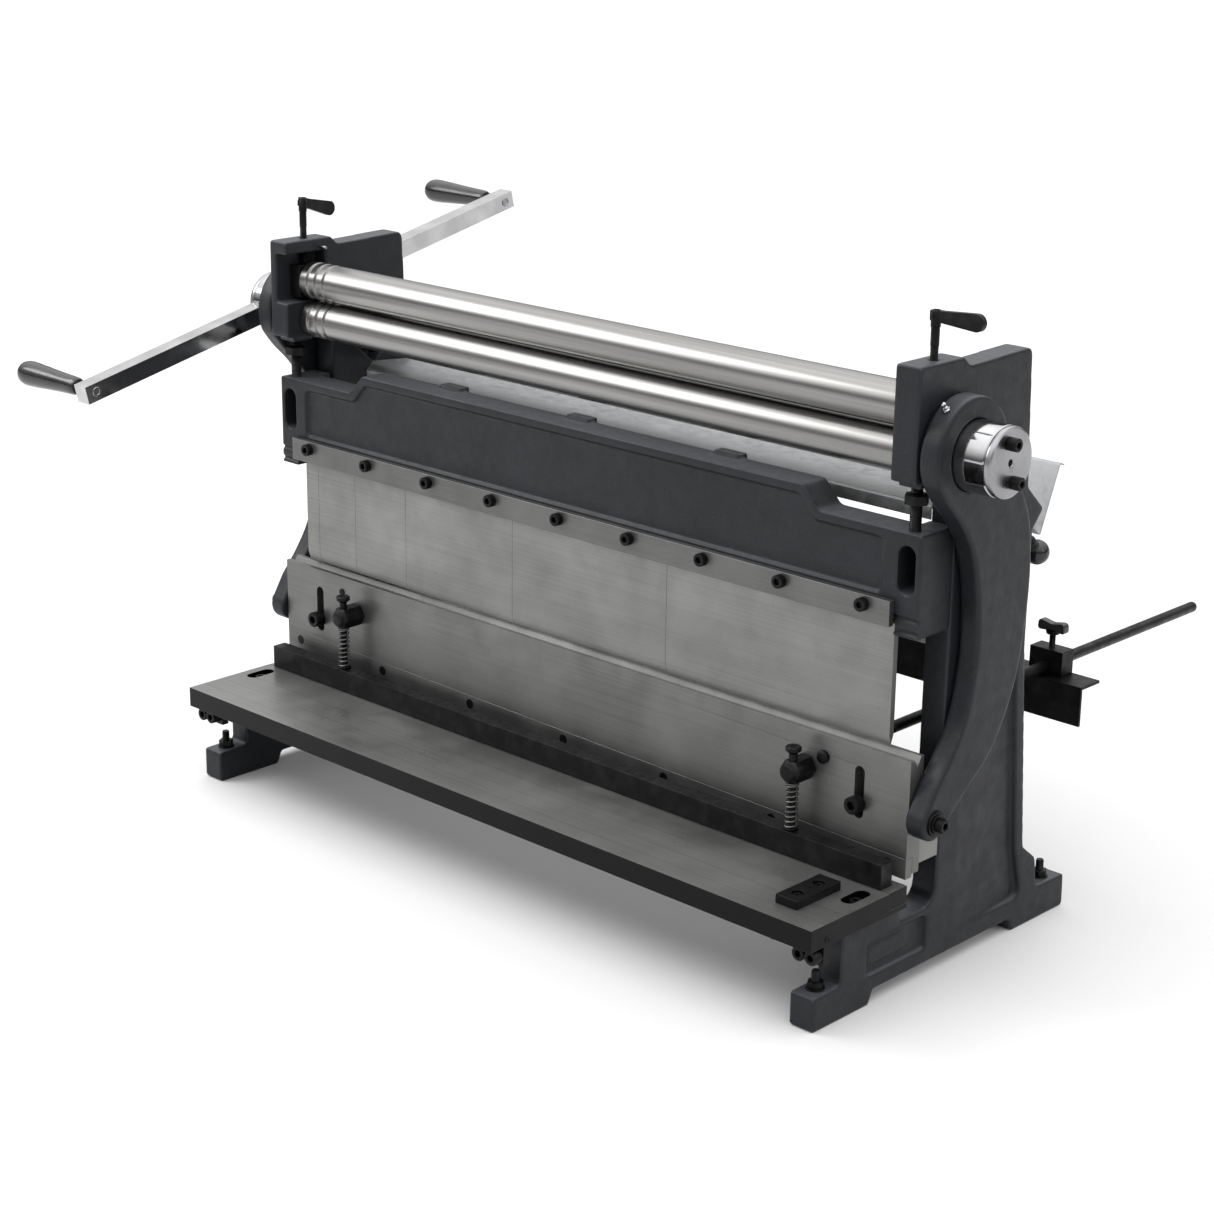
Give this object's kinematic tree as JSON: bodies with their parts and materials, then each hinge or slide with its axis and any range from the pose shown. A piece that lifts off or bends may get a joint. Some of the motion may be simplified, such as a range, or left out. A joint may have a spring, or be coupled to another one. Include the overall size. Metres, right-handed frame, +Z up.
{
  "type": "combination sheet metal shear, press brake and slip roll",
  "caption": "Bench-top combination machine that shears, bends and rolls sheet metal, worked by a crank lever with curved eccentric arms.",
  "frame": {"origin": "middle of the bottom of the bounding box, on the floor plane of the four feet", "axes": "+X along the rolls to the machine's right, +Y to the rear, +Z up"},
  "size_m": [1.378, 0.9958, 0.7903],
  "materials": {
    "casting_paint": "charcoal blue-grey enamel over rough casting, semi-gloss",
    "ground_steel": "ground tool steel, fine lengthwise grinding marks",
    "table_steel": "oiled ground table top with blackened edges",
    "roll_steel": "turned and polished roll steel",
    "chrome": "bright plated steel",
    "black_oxide": "black oxide, slightly oily",
    "galvanised_sheet": "light zinc-coated sheet with fine sparkle",
    "black_plastic": "glossy black moulded plastic"
  },
  "bodies": {
    "frame": {"side_frame_left": "casting_paint", "side_frame_right": "casting_paint", "table": "table_steel", "lower_blade": "table_steel", "square_gauge": "black_oxide", "guide_beam": "ground_steel", "guide_screw_left": "black_oxide", "guide_screw_right": "black_oxide", "sheet_tray": "galvanised_sheet", "gauge_rod_left": "black_oxide", "gauge_rod_right": "black_oxide"},
    "main_shaft": {"lower_roll": "roll_steel", "lower_gear": "black_oxide", "eccentric_left": "chrome", "eccentric_right": "chrome", "hub_cap_left": "chrome", "hub_cap_right": "chrome", "lever_bar": "chrome"},
    "front_grip": {"grip_front": "black_plastic"},
    "rear_grip": {"grip_rear": "black_plastic"},
    "left_arm": {"arm_left": "casting_paint", "arm_bolt_left": "black_oxide"},
    "right_arm": {"arm_right": "casting_paint", "arm_bolt_right": "black_oxide"},
    "upper_carriage": {"upper_bearing_left": "black_oxide", "upper_bearing_right": "black_oxide"},
    "upper_roller": {"upper_roll": "roll_steel", "upper_gear": "black_oxide"},
    "left_crank": {"crank_screw_left": "black_oxide"},
    "right_crank": {"crank_screw_right": "black_oxide"},
    "rear_carriage": {"rear_bearing_left": "black_oxide", "rear_bearing_right": "black_oxide"},
    "rear_roller": {"rear_roll": "roll_steel"},
    "left_rear_knob": {"rear_knob_screw_left": "black_plastic"},
    "right_rear_knob": {"rear_knob_screw_right": "black_plastic"},
    "moving_beam": {"moving_plate": "ground_steel", "upper_blade": "ground_steel", "hold_down_stud_left": "black_oxide", "hold_down_stud_right": "black_oxide"},
    "hold_down": {"hold_down_bar": "black_oxide", "hold_down_bolt_left": "black_oxide", "hold_down_bolt_right": "black_oxide", "hold_down_spring_left": "black_oxide", "hold_down_spring_right": "black_oxide"},
    "punch_beam": {"crosshead": "casting_paint", "clamp_bar": "ground_steel", "jack_screw_left": "black_oxide", "jack_screw_right": "black_oxide", "punch_1": "ground_steel", "punch_2": "ground_steel", "punch_3": "ground_steel", "punch_4": "ground_steel", "punch_5": "ground_steel", "punch_6": "ground_steel"},
    "back_gauge": {"gauge_angle": "black_oxide", "gauge_block_left": "black_oxide", "gauge_block_right": "black_oxide"},
    "left_gauge_knob": {"gauge_knob_left": "black_plastic"},
    "right_gauge_knob": {"gauge_knob_right": "black_plastic"}
  },
  "joints": [
    {"name": "lever_turn", "type": "hinge", "parent": "frame", "child": "main_shaft", "pos_m": [0.067, -0.17706, 0.626], "axis": [1, 0, 0], "range_deg": [-80, 36]},
    {"name": "front_grip_spin", "type": "hinge", "parent": "main_shaft", "child": "front_grip", "pos_m": [-0.623, -0.4796, 0.55777], "axis": [1, 0, 0], "continuous": true},
    {"name": "rear_grip_spin", "type": "hinge", "parent": "main_shaft", "child": "rear_grip", "pos_m": [-0.623, 0.26092, 0.72873], "axis": [1, 0, 0], "continuous": true},
    {"name": "left_arm_pivot", "type": "hinge", "parent": "main_shaft", "child": "left_arm", "pos_m": [-0.493, -0.15806, 0.632], "axis": [1, 0, 0], "range_deg": [-37, 81]},
    {"name": "right_arm_pivot", "type": "hinge", "parent": "main_shaft", "child": "right_arm", "pos_m": [0.627, -0.15806, 0.632], "axis": [1, 0, 0], "range_deg": [-37, 81]},
    {"name": "beam_slide", "type": "slide", "parent": "frame", "child": "moving_beam", "axis": [0, 0, 1], "range_m": [-0.0245, 0.0112], "deforming": ["hold_down_spring_left", "hold_down_spring_right"]},
    {"name": "hold_down_lift", "type": "slide", "parent": "frame", "child": "hold_down", "axis": [0, 0, 1], "range_m": [0, 0.006]},
    {"name": "upper_roll_lift", "type": "slide", "parent": "frame", "child": "upper_carriage", "axis": [0, 0, 1], "range_m": [-0.001, 0.012]},
    {"name": "upper_roll_spin", "type": "hinge", "parent": "upper_carriage", "child": "upper_roller", "pos_m": [0.067, -0.17706, 0.678], "axis": [1, 0, 0], "range_deg": [-37, 81]},
    {"name": "rear_roll_slide", "type": "slide", "parent": "frame", "child": "rear_carriage", "axis": [0, -0.7314, 0.682], "range_m": [-0.008, 0.018]},
    {"name": "rear_roll_spin", "type": "hinge", "parent": "rear_carriage", "child": "rear_roller", "pos_m": [0.067, -0.09906, 0.605], "axis": [1, 0, 0], "continuous": true},
    {"name": "punch_beam_height", "type": "slide", "parent": "frame", "child": "punch_beam", "axis": [0, 0, 1], "range_m": [0, 0.004]},
    {"name": "back_gauge_slide", "type": "slide", "parent": "frame", "child": "back_gauge", "axis": [0, 1, 0], "range_m": [-0.11, 0.29]},
    {"name": "left_crank_turn", "type": "hinge", "parent": "upper_carriage", "child": "left_crank", "pos_m": [-0.46, -0.17706, 0.74], "axis": [0, 0, 1], "range_deg": [-122, 1442]},
    {"name": "left_rear_knob_turn", "type": "hinge", "parent": "rear_carriage", "child": "left_rear_knob", "pos_m": [-0.46, -0.09906, 0.605], "axis": [0, -0.7314, 0.682], "range_deg": [-962, 2162]},
    {"name": "left_gauge_knob_turn", "type": "hinge", "parent": "back_gauge", "child": "left_gauge_knob", "pos_m": [-0.411, 0.16644, 0.32], "axis": [0, 0, 1], "continuous": true},
    {"name": "right_crank_turn", "type": "hinge", "parent": "upper_carriage", "child": "right_crank", "pos_m": [0.594, -0.17706, 0.74], "axis": [0, 0, 1], "range_deg": [-122, 1442]},
    {"name": "right_rear_knob_turn", "type": "hinge", "parent": "rear_carriage", "child": "right_rear_knob", "pos_m": [0.594, -0.09906, 0.605], "axis": [0, -0.7314, 0.682], "range_deg": [-962, 2162]},
    {"name": "right_gauge_knob_turn", "type": "hinge", "parent": "back_gauge", "child": "right_gauge_knob", "pos_m": [0.545, 0.16644, 0.32], "axis": [0, 0, 1], "continuous": true}
  ],
  "couplings": [
    {"joint": "left_arm_pivot", "follows": "lever_turn", "ratio": -1},
    {"joint": "right_arm_pivot", "follows": "lever_turn", "ratio": -1},
    {"joint": "upper_roll_spin", "follows": "lever_turn", "ratio": -1},
    {"joint": "beam_slide", "follows": "lever_turn", "m_per_rad": 0.0171},
    {"joint": "left_crank_turn", "follows": "upper_roll_lift", "rad_per_m": 2094.4},
    {"joint": "left_rear_knob_turn", "follows": "rear_roll_slide", "rad_per_m": 2094.4},
    {"joint": "right_crank_turn", "follows": "upper_roll_lift", "rad_per_m": 2094.4},
    {"joint": "right_rear_knob_turn", "follows": "rear_roll_slide", "rad_per_m": 2094.4}
  ]
}
